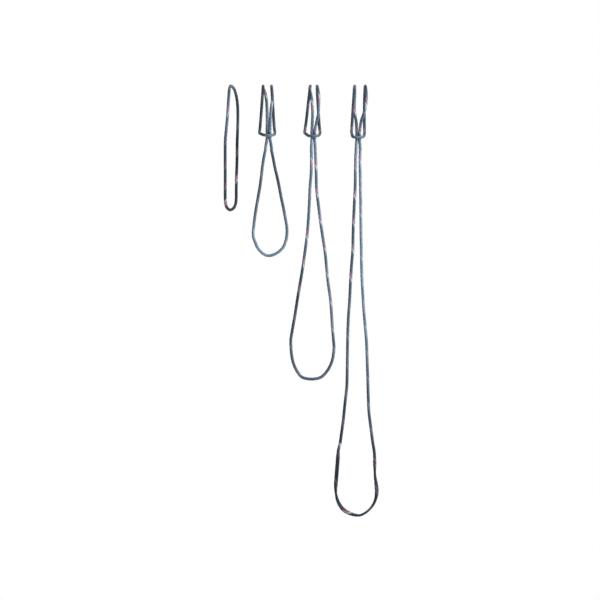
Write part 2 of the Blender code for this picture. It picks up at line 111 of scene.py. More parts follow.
# A collar from left to right: cord diameters right of the station, behind the choke, above it
COLLAR_2_SHARES = [
    (-3.35, 4.60, 1.05), (-2.75, 2.10, 0.55), (-2.20, 0.74, 0.25), (-1.86, -0.13, 0.08),
    (-1.18, -0.93, -0.05), (0.00, -1.31, -0.12), (1.18, -0.93, -0.05), (1.86, -0.13, 0.10),
    (2.10, 0.74, 0.28), (2.19, 2.10, 0.58), (2.25, 4.60, 1.05),
]
COLLAR_3_SHARES = [
    (-3.05, 4.60, 1.27), (-2.55, 2.10, 0.68), (-2.15, 0.74, 0.30), (-1.86, -0.13, 0.08),
    (-1.18, -0.93, -0.06), (0.00, -1.31, -0.14), (1.18, -0.93, -0.06), (1.86, -0.13, 0.10),
    (2.11, 0.74, 0.30), (2.28, 2.10, 0.68), (2.45, 4.60, 1.27),
]
COLLAR_4_SHARES = [
    (-2.30, 4.60, 1.61), (-2.19, 2.10, 0.83), (-2.08, 0.74, 0.36), (-1.85, -0.13, 0.08),
    (-1.18, -0.93, -0.14), (0.00, -1.31, -0.22), (1.18, -0.93, -0.14), (1.85, -0.13, 0.08),
    (2.09, 0.74, 0.36), (2.26, 2.10, 0.83), (2.40, 4.60, 1.61),
]
# A loop from its left join round to its right one: sideways as shares of its spread, and down
# as shares of its reach below the join
LOOP_2_SHARES = [
    (-0.19, 0.03), (-0.25, 0.08), (-0.33, 0.17), (-0.39, 0.26), (-0.46, 0.35), (-0.56, 0.45),
    (-0.65, 0.54), (-0.74, 0.64), (-0.80, 0.73), (-0.83, 0.78), (-0.81, 0.83), (-0.73, 0.87),
    (-0.61, 0.92), (-0.43, 0.96), (-0.21, 0.99), (0.00, 1.00), (0.22, 0.994), (0.44, 0.977),
    (0.65, 0.95), (0.80, 0.92), (0.92, 0.87), (0.98, 0.82), (1.00, 0.78), (0.99, 0.73),
    (0.90, 0.64), (0.79, 0.54), (0.68, 0.45), (0.57, 0.35), (0.46, 0.26), (0.34, 0.17),
    (0.24, 0.08), (0.18, 0.03),
]
LOOP_3_SHARES = [
    (-0.084, 0.02), (-0.085, 0.06), (-0.092, 0.10), (-0.116, 0.13), (-0.146, 0.165),
    (-0.175, 0.235), (-0.219, 0.305), (-0.27, 0.37), (-0.37, 0.445), (-0.47, 0.515),
    (-0.59, 0.585), (-0.71, 0.655), (-0.82, 0.724), (-0.945, 0.794), (-1.00, 0.829),
    (-0.99, 0.864), (-0.955, 0.90), (-0.875, 0.934), (-0.70, 0.969), (-0.52, 0.99),
    (-0.34, 0.997), (-0.075, 1.00), (0.19, 0.997), (0.37, 0.99), (0.55, 0.973),
    (0.72, 0.948), (0.85, 0.915), (0.92, 0.864), (0.895, 0.829), (0.84, 0.76),
    (0.765, 0.655), (0.665, 0.585), (0.59, 0.515), (0.52, 0.445), (0.41, 0.375),
    (0.31, 0.305), (0.22, 0.235), (0.142, 0.165), (0.128, 0.10), (0.112, 0.06), (0.096, 0.02),
]
LEFT_LEG_4_SHARES = [
    (-0.110, 0.016), (-0.118, 0.038), (-0.122, 0.06), (-0.134, 0.104), (-0.17, 0.147),
    (-0.203, 0.191), (-0.228, 0.235), (-0.235, 0.27), (-0.30, 0.32), (-0.344, 0.366),
    (-0.38, 0.41), (-0.43, 0.454), (-0.455, 0.487), (-0.477, 0.553), (-0.491, 0.618),
    (-0.51, 0.65), (-0.59, 0.695), (-0.665, 0.74), (-0.76, 0.783), (-0.812, 0.805),
]
SPLICE_4_SHARES = [
    (-0.879, 0.821), (-0.91, 0.848), (-0.968, 0.892), (-1.00, 0.922), (-0.982, 0.943),
    (-0.884, 0.964), (-0.736, 0.979), (-0.558, 0.989), (-0.357, 0.995), (-0.156, 0.999),
    (0.067, 1.000), (0.268, 0.995), (0.469, 0.986), (0.647, 0.973), (0.772, 0.957),
    (0.83, 0.936), (0.803, 0.914), (0.754, 0.892), (0.741, 0.861), (0.736, 0.842),
]
RIGHT_LEG_4_SHARES = [
    (0.715, 0.824), (0.66, 0.803), (0.57, 0.761), (0.484, 0.717), (0.451, 0.673),
    (0.428, 0.618), (0.393, 0.553), (0.37, 0.52), (0.308, 0.476), (0.248, 0.432),
    (0.205, 0.388), (0.161, 0.332), (0.147, 0.279), (0.129, 0.224), (0.12, 0.169),
    (0.108, 0.114), (0.100, 0.082), (0.092, 0.06), (0.087, 0.038), (0.086, 0.016),
]
# The splice's cover: how many turns it has made at shares of its length, then its half width, the
# radius of each of its two strands, and the length over which it flattens
SPLICE_TWIST_SHARES = [
    (0.00, 0.00), (0.14, 0.01), (0.22, 0.03), (0.30, 0.25), (0.36, 0.37), (0.45, 0.52),
    (0.54, 0.72), (0.66, 0.76), (0.71, 0.81), (0.78, 1.00), (0.84, 1.17), (0.92, 1.28),
    (1.00, 1.50),
]
SPLICE_HALF_WIDTH = 0.0040
SPLICE_STRAND_RADIUS = 0.0024
SPLICE_TAPER = 0.0180

# The draped sling: degrees round the anchor with shares of its spread, then for its legs shares
# of its spread, of the wrap's radius (front to back) and of its reach
SLING_1_STATION = JOINT_PLACES["sling_1_swing"].x
SLING_1_REACH = 0.2215
SLING_1_SPREAD = 0.0139
FRONT_WRAP_1_SHARES = [(180, -0.02), (150, -0.24), (120, -0.33), (95, -0.42)]
LEGS_1_SHARES = [
    (-0.54, -0.990, 0.090), (-0.71, -0.965, 0.210), (-0.86, -0.930, 0.310),
    (-0.90, -0.850, 0.510), (-0.90, -0.740, 0.680), (-0.92, -0.620, 0.800),
    (-0.92, -0.485, 0.890), (-0.86, -0.340, 0.945), (-0.66, -0.180, 0.980),
    (-0.20, 0.000, 1.000), (0.32, 0.180, 0.982), (0.63, 0.340, 0.946),
    (0.74, 0.485, 0.890), (0.74, 0.620, 0.800), (0.76, 0.740, 0.680),
    (0.84, 0.850, 0.510), (0.87, 0.930, 0.310), (0.92, 0.965, 0.210),
    (0.97, 0.990, 0.090),
]
BACK_WRAP_1_SHARES = [(265, 0.95), (240, 0.82), (210, 0.48)]

# The hitched slings: reach below the anchor's axis, spread, half opening at the join, wraps,
# collar, and the loop's stretches
HITCHED = {
    2: (0.3227, 0.0407, 0.0065, LEFT_WRAP_2_SHARES, RIGHT_WRAP_2_SHARES, COLLAR_2_SHARES,
        LOOP_2_SHARES),
    3: (0.5942, 0.0495, 0.0043, LEFT_WRAP_3_SHARES, RIGHT_WRAP_3_SHARES, COLLAR_3_SHARES,
        LOOP_3_SHARES),
    4: (0.8939, 0.0493, 0.0047, LEFT_WRAP_4_SHARES, RIGHT_WRAP_4_SHARES, COLLAR_4_SHARES,
        LEFT_LEG_4_SHARES + SPLICE_4_SHARES + RIGHT_LEG_4_SHARES),
}

# Places along each cord: the stretch, the height above the anchor's axis, whether the white
# strands come after the tracers or before them (None where no tracers have to surface), how
# bright the tracers are there, how bright the white strands are, and how light the cord is
# there: partly the yarns' own colour and partly painted light and shade, lighter on the lit
# fronts of the hitches and darker on their crests and on stretches in shade
MARKS = {
    1: [
        ("front", 0.0400, None, 0.2, 0.2, 0.7), ("front", -0.0026, "after", 0.8, 1.0, 1.4),
        ("front", -0.0400, None, 0.3, 0.3, 1.4),
        ("front", -0.0667, "after", 0.3, 0.2, 0.60), ("front", -0.1217, "after", 0.3, 0.2, 0.52),
        ("front", -0.1480, None, 0.3, 0.2, 0.52), ("front", -0.2079, "before", 1.0, 1.0, 0.36),
        ("back", -0.1480, "before", 1.0, 1.0, 0.33), ("back", -0.0880, "before", 0.3, 0.2, 0.31),
    ],
    2: [
        ("right_front", 0.0460, None, 0.4, 0.3, 0.45),
        ("right_front", 0.0018, "after", 0.6, 1.0, 1.4),
        ("right_front", -0.0500, None, 0.3, 0.3, 1.5),
        ("left_front", -0.0500, None, 0.3, 0.3, 1.5),
        ("left_front", 0.0460, None, 0.4, 0.3, 0.45),
        ("left_front", 0.0341, "after", 1.0, 1.0, 0.9),
        ("left_front", -0.0050, None, 0.4, 0.3, 1.3),
        ("left_front", -0.0230, "after", 0.3, 0.2, 1.2),
        ("left_leg", -0.1400, None, 0.1, 0.1, 1.00), ("left_leg", -0.2050, None, 0.1, 0.1, 0.9),
        ("left_leg", -0.2850, None, 0.1, 0.4, 2.0), ("right_leg", -0.2850, None, 0.1, 0.3, 1.6),
        ("right_leg", -0.1793, "before", 0.3, 0.1, 0.62),
        ("right_leg", -0.1221, "before", 0.3, 0.1, 0.55),
    ],
    3: [
        ("right_front", 0.0460, None, 0.4, 0.3, 0.45),
        ("right_front", 0.0180, "after", 1.0, 1.0, 1.4),
        ("right_front", -0.0350, None, 0.4, 0.3, 1.3),
        ("left_front", 0.0460, None, 0.4, 0.3, 0.45),
        ("left_front", 0.0018, "before", 1.0, 1.0, 1.4),
        ("left_leg", -0.0800, None, 0.3, 0.3, 2.0),
        ("left_leg", -0.1243, "before", 1.0, 1.0, 1.5),
        ("left_leg", -0.1850, "before", 0.6, 0.1, 1.35),
        ("left_leg", -0.2739, "after", 0.9, 0.8, 1.2),
        ("left_leg", -0.3333, "after", 0.8, 0.8, 0.9),
        ("left_leg", -0.3916, "after", 0.5, 0.4, 0.40),
        ("left_leg", -0.4800, None, 0.2, 0.2, 0.55),
        ("left_leg", -0.5300, None, 0.1, 0.1, 0.90), ("right_leg", -0.5700, None, 0.1, 0.1, 0.8),
        ("right_leg", -0.4741, "before", 0.5, 0.5, 1.2),
        ("right_leg", -0.4156, "before", 0.6, 0.7, 1.6),
        ("right_leg", -0.3546, "before", 0.6, 0.9, 1.3),
        ("right_leg", -0.2981, "before", 0.9, 0.9, 1.3),
        ("right_leg", -0.2374, "before", 0.7, 1.0, 1.3),
        ("right_leg", -0.1786, "before", 1.0, 1.0, 1.1),
        ("right_leg", -0.1155, "before", 1.0, 1.0, 1.6),
        ("right_leg", -0.0800, None, 0.3, 0.3, 2.0),
    ],
    4: [
        ("right_front", -0.0407, "before", 1.0, 0.8, 0.9),
        ("right_front", 0.0180, "before", 1.0, 1.0, 1.4),
        ("right_front", 0.0460, None, 0.4, 0.3, 0.45), ("left_front", 0.0460, None, 0.4, 0.3, 0.45),
        ("left_front", 0.0033, "after", 1.0, 1.0, 1.4),
        ("left_front", -0.0280, None, 0.4, 0.3, 0.7),
        ("left_leg", -0.0800, None, 0.3, 0.3, 2.0),
        ("left_leg", -0.1203, "after", 0.6, 0.7, 1.6),
        ("left_leg", -0.1837, "after", 0.7, 0.9, 0.8),
        ("left_leg", -0.2420, "after", 0.5, 0.9, 0.8),
        ("left_leg", -0.3018, "after", 0.6, 0.9, 0.9),
        ("left_leg", -0.3634, "after", 0.5, 0.9, 0.75),
        ("left_leg", -0.5500, None, 0.2, 0.2, 0.95),
        ("left_leg", -0.6300, None, 0.2, 0.2, 0.46), ("left_leg", -0.7200, None, 0.2, 0.2, 0.35),
        ("left_leg", -0.7480, "before", 0.2, 1.0, 0.32),
        ("left_leg", -0.7650, None, 0.3, 0.1, 0.25), ("left_leg", -0.8300, None, 0.25, 0.1, 0.18),
        ("left_leg", -0.8842, "after", 0.65, 1.0, 0.40),
        ("right_leg", -0.8700, None, 0.2, 0.1, 0.27),
        ("right_leg", -0.8325, "before", 0.3, 0.2, 0.24),
        ("right_leg", -0.7710, "before", 0.4, 0.2, 0.24),
        ("right_leg", -0.7200, None, 0.2, 0.2, 0.60), ("right_leg", -0.6000, None, 0.2, 0.2, 0.9),
        ("right_leg", -0.4700, None, 0.2, 0.4, 1.7),
        ("right_leg", -0.3179, "before", 0.6, 0.8, 2.0),
        ("right_leg", -0.2255, "before", 0.6, 0.8, 2.0),
        ("right_leg", -0.1045, "before", 0.8, 0.6, 2.0),
    ],
}
# Painted light and shade on each collar: which of its points, and how light it is there, lighter at
# the front and darker at the ends that pass behind the anchor, where its shadow falls
COLLAR_PAINTED_LIGHT = [(0, 0.6), (2, 0.5), (4, 1.4), (6, 1.4), (8, 0.5), (10, 0.6)]
# How bright the tracers and the white strands are on a collar, and how bright both are away from
# all marks, which is farther than this share of the pitch
COLLAR_BRIGHTNESS = (0.4, 0.3)
FAINT_BRIGHTNESS = 0.25
MARK_REACH = 0.5
# How much of the draped cord's length lies before the end of its back leg
DRAPED_BACK_SHARE = 0.93

# The braid: twelve strands, six each way round, over two and under two, which repeats after four
# crossings. A strand of the one way and of the other lies highest this many crossings on
CARRIERS = 12
STRANDS_EACH_WAY = CARRIERS // 2
WEAVE_REPEAT = 4
HIGH_ONE_WAY = 0.5
HIGH_OTHER_WAY = -1.5
# A strand's height as shares of the relief: from the weave, from its round section with the fall
# to its edges, and the groove between its two yarns
WEAVE_HEIGHT = 0.42
ROUND_HEIGHT = 0.58
ROUND_FALL = 3.4
YARN_GROOVE_DEPTH = 0.10
YARN_GROOVE_WIDTH = 0.09
# How much of each of six neighbouring strands is slate. The rest is navy, and the first carries
# the tracer
SLATE_SHARES = np.array([0.80, 0.95, 0.80, 0.62, 0.58, 0.88])
# The two sides of the cord where tracers cross: twelfths of a turn round, and of a pitch along
TRACER_CROSSINGS = ((-0.5, 1), (5.5, 5))
# How a coloured strand fades along itself: its strength in the middle, the fall with each
# crossing, and where that middle lies. Then the same round the cord from such a side
TRACER_FADE = (2.1, 2.2, 0.35)
WHITE_FADE = (2.6, 2.4, 0.0)
SIDE_FALL = 3
SIDE_REACH = 0.6

# The line has this many points between two of its route's, and a ring this many round the cord
SAMPLES_PER_RUN = 40
POINTS_ROUND = 54
SHARP_ANGLE = math.radians(70)
FRONT = np.array((0.0, -1.0, 0.0))
BACK = np.array((0.0, 1.0, 0.0))
UP = np.array((0.0, 0.0, 1.0))

# The yarns' surface. The noise runs along the filaments, and a step across it keeps neighbouring
# strands apart
STRAND_STEP = 1.7
FILAMENT_STRETCH = (14.0, 1.1, 3.0)
FILAMENT_NOISE = {"Scale": 1.6, "Detail": 4.0, "Roughness": 0.6}
CLOUD_NOISE = {"Scale": 38.0, "Detail": 3.0}
# A low and a high value, and what these become
STREAK_RANGE = (0.3, 0.7, 0.72, 1.30)
CLOUD_RANGE = (0.35, 0.65, 0.88, 1.12)
# Painted shade in the grooves between strands, by the strand's height
GROOVE_SHADE_RANGE = (0.35, 0.9, 0.55, 1.03)
ROUGHNESS_RANGE = (0.3, 0.7, 0.78, 0.60)
FILAMENT_BUMP = {"Strength": 0.5, "Distance": 0.00015}
SPECULAR_LEVEL = 0.12
SHEEN_WEIGHT = 0.02
SHEEN_ROUGHNESS = 0.45

# The stage. Its lamps face the middle
FLOOR_RADIUS = 6.0
FLOOR_PLAIN_RADIUS = 0.30
FLOOR_WHITE_RADIUS = 0.70
FLOOR_SIDES = 96
FLOOR_ROUGHNESS = 0.9
WHITE = (1.0, 1.0, 1.0, 1.0)
STAGE_MIDDLE = Vector((-0.01, 0.0, -0.42))
CAMERA_PLACE = (-0.0003, -7.353, -0.4202)
CAMERA_LENS = 200.0
CAMERA_CLIP = (0.1, 100.0)
KEY_PLACE = (2.85, -1.30, 1.25)
KEY_SIZE = 1.4
FILL_PLACE = (-3.2, -1.2, 0.2)
FILL_SIZE = 1.6
BACK_PLACE = (-0.9, 3.6, 1.0)
BACK_SIZE = 1.6


class SlingCord(bpy.types.PropertyGroup):
    """The sizes of the cord's braid."""

    body_radius: bpy.props.FloatProperty(
        name="Body radius",
        description="The cord's radius under the crowns of its strands",
        default=0.00282, min=0.001, max=0.02, precision=5, unit="LENGTH", subtype="DISTANCE",
    )
    relief: bpy.props.FloatProperty(
        name="Relief",
        description="How far a strand's crown stands above the cord's body",
        default=0.00058, min=0.0, max=0.002, precision=5, unit="LENGTH", subtype="DISTANCE",
    )
    pitch: bpy.props.FloatProperty(
        name="Braid pitch",
        description="The length of cord in which a strand goes once round",
        default=0.0595, min=0.01, max=0.3, precision=4, unit="LENGTH", subtype="DISTANCE",
    )
    ring_step: bpy.props.FloatProperty(
        name="Ring step",
        description="The distance between the mesh rings along the cord",
        default=0.0010, min=0.0005, max=0.01, precision=4, unit="LENGTH", subtype="DISTANCE",
    )


class SlingColours(bpy.types.PropertyGroup):
    """The colours of the yarns."""

    navy: bpy.props.FloatVectorProperty(
        name="Navy yarns",
        description="The dark yarns, some in every strand",
        default=(0.040, 0.062, 0.086), min=0.0, max=1.0, size=3, subtype="COLOR",
    )
    slate: bpy.props.FloatVectorProperty(
        name="Slate yarns",
        description="The lighter blue-grey yarns, most of every strand",
        default=(0.183, 0.257, 0.336), min=0.0, max=1.0, size=3, subtype="COLOR",
    )
    white: bpy.props.FloatVectorProperty(
        name="White strands",
        description="The pale marker strand beside the tracer",
        default=(0.660, 0.730, 0.790), min=0.0, max=1.0, size=3, subtype="COLOR",
    )
    tracer: bpy.props.FloatVectorProperty(
        name="Tracer yarn",
        description="The red tracer yarn",
        default=(0.700, 0.270, 0.400), min=0.0, max=1.0, size=3, subtype="COLOR",
    )


class SlingStage(bpy.types.PropertyGroup):
    """The floor and the light."""

    floor: bpy.props.FloatVectorProperty(
        name="Floor",
        description="The plain floor's colour",
        default=(0.920, 0.920, 0.910), min=0.0, max=1.0, size=3, subtype="COLOR",
    )
    floor_drop: bpy.props.FloatProperty(
        name="Floor drop",
        description="How far the floor lies below the anchor's axis",
        default=1.15, min=0.95, max=3.0, unit="LENGTH", subtype="DISTANCE",
    )
    key_power: bpy.props.FloatProperty(
        name="Key light",
        description="The power of the light from the right",
        default=128.0, min=0.0, max=1000.0, subtype="POWER",
    )
    fill_power: bpy.props.FloatProperty(
        name="Fill light",
        description="The power of the light from the left",
        default=5.0, min=0.0, max=1000.0, subtype="POWER",
    )
    back_power: bpy.props.FloatProperty(
        name="Back light",
        description="The power of the light from behind",
        default=70.0, min=0.0, max=1000.0, subtype="POWER",
    )
    ambient: bpy.props.FloatProperty(
        name="Ambient light",
        description="How bright the surroundings are",
        default=0.08, min=0.0, max=1.0,
    )


def smooth_ring(route):
    """Closely spaced points on a smooth closed curve through a route (a centripetal spline)."""
    count = len(route)
    share = np.arange(SAMPLES_PER_RUN)[:, None] / SAMPLES_PER_RUN
    line = []
    for i in range(count):
        p0, p1, p2, p3 = (route[(i + k) % count] for k in (-1, 0, 1, 2))
        t1 = math.sqrt(np.linalg.norm(p1 - p0))
        t2 = t1 + math.sqrt(np.linalg.norm(p2 - p1))
        t3 = t2 + math.sqrt(np.linalg.norm(p3 - p2))
        t = t1 + (t2 - t1) * share
        a1 = p0 + (p1 - p0) * t / t1
        a2 = p1 + (p2 - p1) * (t - t1) / (t2 - t1)
        a3 = p2 + (p3 - p2) * (t - t2) / (t3 - t2)
        b1 = a1 + (a2 - a1) * t / t2
        b2 = a2 + (a3 - a2) * (t - t1) / (t3 - t1)
        line.append(b1 + (b2 - b1) * (t - t1) / (t2 - t1))
    return np.concatenate(line)


def unit(vectors):
    """Vectors brought to a length of one."""
    return vectors / np.linalg.norm(vectors, axis=-1, keepdims=True)


class EndlessCord:
    """A sling's whole cord: an even line round it, and the frame that its braid lies in."""

    def __init__(self, route, sizes):
        raw = smooth_ring(route)
        closed = np.vstack([raw, raw[:1]])
        run = np.concatenate([[0.0], np.cumsum(np.linalg.norm(np.diff(closed, axis=0), axis=1))])
        self.pitch = sizes.pitch
        self.length = float(run[-1])
        self.route_runs = run[np.arange(len(route)) * SAMPLES_PER_RUN]
        self.count = round(self.length / sizes.ring_step)
        self.step = self.length / self.count
        self.runs = np.arange(self.count) * self.step
        self.places = np.stack([np.interp(self.runs, run, closed[:, k]) for k in range(3)], 1)
        self.ways = unit(np.roll(self.places, -1, 0) - np.roll(self.places, 1, 0))
        self.sides = self.carried_sides()
        self.ups = np.cross(self.ways, self.sides)
        self.mark_runs = np.array([0.0, self.length])
        self.turns = np.zeros(2)
        self.slips = np.zeros(2)

    def carried_sides(self):
        """A direction across the cord that never twists about it, apart from closing evenly."""
        side = unit(FRONT - self.ways[0] * (FRONT @ self.ways[0]))
        sides = [side]
        for way in np.vstack([self.ways[1:], self.ways[:1]]):
            side = side - way * (side @ way)
            side = side / math.sqrt(side @ side)
            sides.append(side)
        last = sides.pop()
        sides = np.array(sides)
        first_up = np.cross(self.ways[0], sides[0])
        gap = math.atan2(last @ first_up, last @ sides[0])
        back = -gap * np.arange(self.count)[:, None] / self.count
        return sides * np.cos(back) + np.cross(self.ways, sides) * np.sin(back)

    def ring_at(self, run):
        return int(round(run / self.step))

    def ring_by_height(self, first_run, last_run, height):
        """The ring of a stretch that is nearest to a height."""
        rings = np.arange(self.ring_at(first_run), self.ring_at(last_run) + 1) % self.count
        return int(rings[np.argmin(np.abs(self.places[rings, 2] - height))])

    def front_angle(self, ring):
        return math.atan2(FRONT @ self.ups[ring], FRONT @ self.sides[ring])

    def surface_tracers(self, marks):
        """Turns and shifts the braid so that two tracers cross at the front at each mark."""
        runs, turns, slips = [], [], []
        for ring in sorted(marks):
            run = self.runs[ring]
            near_turn = turns[-1] if turns else 0.0
            near_slip = slips[-1] if slips else 0.0
            best = None
            for round_share, along_share in TRACER_CROSSINGS:
                turn = round_share / CARRIERS * math.tau - self.front_angle(ring)
                slip = along_share / CARRIERS * self.pitch - run
                turn += math.tau * round((near_turn - turn) / math.tau)
                slip += self.pitch * round((near_slip - slip) / self.pitch)
                cost = abs(turn - near_turn) / math.tau + abs(slip - near_slip) / self.pitch
                if best is None or cost < best[0]:
                    best = (cost, turn, slip)
            runs.append(run)
            turns.append(best[1])
            slips.append(best[2])
        whole = math.tau * round((turns[-1] - turns[0]) / math.tau)
        shift = self.pitch * round((slips[-1] - slips[0] + self.length) / self.pitch)
        shift -= self.length
        self.mark_runs = np.array([runs[-1] - self.length] + runs + [runs[0] + self.length])
        self.turns = np.array([turns[-1] - whole] + turns + [turns[0] + whole])
        self.slips = np.array([slips[-1] - shift] + slips + [slips[0] + shift])

    def dye_with_painted_light(self, marks):
        """How bright the tracers and white strands are at each ring, their order, and how light the
        cord is there, its own colour with painted light and shade.
        """
        marks = sorted(marks, key=lambda mark: mark[0])
        marks = [marks[-1], *marks, marks[0]]
        places, orders, tracers, whites, tones_with_painted_light = (np.array(part) for part in zip(*marks))
        places[0] -= self.count
        places[-1] += self.count
        ring = np.arange(self.count)
        self.tone = np.interp(ring, places, tones_with_painted_light)
        nearest = np.argmin(np.abs(ring[:, None] - places[None, :]), 1)
        near = np.abs(ring - places[nearest]) * self.step < self.pitch * MARK_REACH
        self.tracer = np.where(near, tracers[nearest], FAINT_BRIGHTNESS)
        self.white = np.where(near, whites[nearest], FAINT_BRIGHTNESS)
        self.white_after = (orders != "before")[nearest]

    def braid_turn(self, rings):
        return np.interp(self.runs[rings], self.mark_runs, self.turns)

    def braid_run(self, rings):
        return self.runs[rings] + np.interp(self.runs[rings], self.mark_runs, self.slips)


def braid_pattern(angle, run, pitch):
    """The braid's surface on each point of the cord.

    Gives the relief from 0 to 1, the strand on top, the places across and along it, whether it
    runs the one way, and how far the middle of its stretch on top is.
    """
    u = STRANDS_EACH_WAY * (angle / math.tau - run / pitch)
    v = STRANDS_EACH_WAY * (angle / math.tau + run / pitch)
    i = np.round(u)
    j = np.round(v)
    across_s = u - i
    across_z = v - j
    quarter = math.tau / WEAVE_REPEAT
    wave_s = np.cos(quarter * (i + v - HIGH_ONE_WAY))
    wave_z = -np.cos(quarter * (u + j - HIGH_ONE_WAY))
    high_s = WEAVE_HEIGHT * wave_s + ROUND_HEIGHT * np.sqrt(1 - ROUND_FALL * across_s**2)
    high_z = WEAVE_HEIGHT * wave_z + ROUND_HEIGHT * np.sqrt(1 - ROUND_FALL * across_z**2)
    over = high_s > high_z
    high = np.where(over, high_s, high_z)
    across = np.where(over, across_s, across_z)
    along = np.where(over, v, u)
    strand = np.mod(np.where(over, i, j), STRANDS_EACH_WAY).astype(int)
    middle = np.where(over, i + v - HIGH_ONE_WAY, u + j - HIGH_OTHER_WAY)
    middle = middle - WEAVE_REPEAT * np.round(middle / WEAVE_REPEAT)
    yarn_groove = YARN_GROOVE_DEPTH * np.exp(-((across / YARN_GROOVE_WIDTH) ** 2))
    return np.clip(high - yarn_groove, 0.0, 1.0), strand, across, along, over, middle


def faded(middle, fade):
    """How strong a coloured strand is, along itself."""
    strength, fall, place = fade
    return np.clip(strength - fall * np.abs(middle - place), 0.0, 1.0)


def twist_at(share):
    """Turns of the splice's cover at a share of its length."""
    places, turns = zip(*SPLICE_TWIST_SHARES)
    return np.interp(share, places, turns)


def eased(share):
    """A share from 0 to 1 that starts and ends gently."""
    share = np.clip(share, 0.0, 1.0)
    return share * share * (3 - 2 * share)


def splice_section(cord, rings, angles):
    """How far the splice's cover lies from its line: two cords side by side, and twisting."""
    length = cord.step * (len(rings) - 1)
    run = cord.step * np.arange(len(rings))
    flat = eased(np.minimum(run, length - run) / SPLICE_TAPER)
    ways = cord.ways[rings]
    inward = unit(np.cross(BACK, ways))
    turn = math.tau * twist_at(run / length)
    wide = inward * np.cos(turn)[:, None] + BACK * np.sin(turn)[:, None]
    wide_angle = np.arctan2(
        np.sum(wide * cord.ups[rings], 1), np.sum(wide * cord.sides[rings], 1)
    )
    apart = (SPLICE_HALF_WIDTH - SPLICE_STRAND_RADIUS) * flat
    radius = CORD_DIAMETER / 2 + (SPLICE_STRAND_RADIUS - CORD_DIAMETER / 2) * flat
    lean = angles - wide_angle[:, None]
    across = apart[:, None] * np.abs(np.cos(lean))
    return across + np.sqrt(radius[:, None] ** 2 - (apart[:, None] * np.sin(lean)) ** 2)


def cord_piece(name, cord, first, last, surface, spliced=False):
    """A stretch of a sling's cord as a braided tube, closed at its ends or into a ring."""
    sizes = bpy.context.scene.sling_cord
    endless = last - first >= cord.count
    rings = np.arange(first, first + cord.count if endless else last + 1) % cord.count
    angles = np.arange(POINTS_ROUND)[None, :] * math.tau / POINTS_ROUND
    turned = angles + cord.braid_turn(rings)[:, None]
    run = np.broadcast_to(cord.braid_run(rings)[:, None], turned.shape)
    high, strand, across, along, over, middle = braid_pattern(turned, run, cord.pitch)
    radius = np.full(turned.shape, sizes.body_radius)
    if spliced:
        radius = splice_section(cord, rings, angles) + sizes.body_radius - CORD_DIAMETER / 2
    radius = radius + sizes.relief * high
    out = (
        cord.sides[rings][:, None, :] * np.cos(angles)[..., None]
        + cord.ups[rings][:, None, :] * np.sin(angles)[..., None]
    )
    points = (cord.places[rings][:, None, :] + out * radius[..., None]).reshape(-1, 3)
    count = len(rings)
    ring = np.arange(count if endless else count - 1)[:, None] * POINTS_ROUND
    after = (ring + POINTS_ROUND) % (count * POINTS_ROUND)
    here = np.arange(POINTS_ROUND)[None, :]
    next_to = (here + 1) % POINTS_ROUND
    corners = [ring + here, ring + next_to, after + next_to, after + here]
    faces = np.stack(corners, -1).reshape(-1, 4).tolist()
    points = points.tolist()
    if not endless:
        for centre, start, flip in ((rings[0], 0, True), (rings[-1], count - 1, False)):
            base = start * POINTS_ROUND
            points.append(cord.places[centre].tolist())
            for a in range(POINTS_ROUND):
                b = (a + 1) % POINTS_ROUND
                edge = (base + b, base + a) if flip else (base + a, base + b)
                faces.append([*edge, len(points) - 1])
    mesh = bpy.data.meshes.new(name)
    mesh.from_pydata(points, [], faces)
    mesh.shade_smooth()
    mesh.set_sharp_from_angle(angle=SHARP_ANGLE)

    def on_points(title, kind, key, values):
        # The middle points of the two ends take a value from the first and the last ring
        values = np.concatenate([values, values[:1], values[-1:]])[:len(points)]
        layer = mesh.attributes.new(title, kind, "POINT")
        layer.data.foreach_set(key, values.astype(np.float32).ravel())

    lean = np.cos(2 * (turned + math.tau / (2 * CARRIERS)))
    crossing = np.clip(SIDE_FALL * lean + SIDE_REACH, 0.0, 1.0)
    tracer = (strand == 0) * faded(middle, TRACER_FADE) * crossing
    white_strand = np.where(over == cord.white_after[rings][:, None], STRANDS_EACH_WAY - 1, 1)
    white = (strand == white_strand) * faded(middle, WHITE_FADE) * crossing
    # The fourth value: how light the cord is, its own colour with painted light and shade
    tint = np.stack([
        tracer * cord.tracer[rings][:, None], white * cord.white[rings][:, None],
        SLATE_SHARES[strand], np.broadcast_to(cord.tone[rings][:, None], white.shape),
    ], -1)
    on_points("strand_tint", "FLOAT_COLOR", "color", tint.reshape(-1, 4))
    spaced = across.ravel() + strand.ravel() * STRAND_STEP
    lay = np.stack([spaced, along.ravel(), over.ravel()], 1)
    on_points("strand_lay", "FLOAT_VECTOR", "vector", lay)
    on_points("strand_height", "FLOAT", "value", high.reshape(-1, 1))
    mesh.materials.append(surface)
    piece = bpy.data.objects.new(name, mesh)
    bpy.context.scene.collection.objects.link(piece)
    return piece


def round_anchor(turn, x):
    """A point on a wrap, turn degrees from the anchor's underside by way of its front."""
    angle = math.radians(turn)
    return np.array((x, -WRAP_RADIUS * math.sin(angle), -WRAP_RADIUS * math.cos(angle)))


def draped_cord():
    """Sling 1: over the anchor, down in front, round the foot and up behind."""
    spread = SLING_1_SPREAD
    route = [round_anchor(turn, SLING_1_STATION + x * spread) for turn, x in FRONT_WRAP_1_SHARES]
    for x, y, z in LEGS_1_SHARES:
        leg = (SLING_1_STATION + x * spread, y * WRAP_RADIUS, -z * SLING_1_REACH)
        route.append(np.array(leg))
    foot = len(route) - len(LEGS_1_SHARES) // 2 - 1
    route += [round_anchor(turn, SLING_1_STATION + x * spread) for turn, x in BACK_WRAP_1_SHARES]
    cord = EndlessCord(route, bpy.context.scene.sling_cord)
    foot_run = cord.route_runs[foot]
    back_end = cord.length * DRAPED_BACK_SHARE
    stretches = {"front": (0.0, foot_run), "back": (foot_run, back_end)}
    mark_tracers(cord, 1, stretches)
    return cord


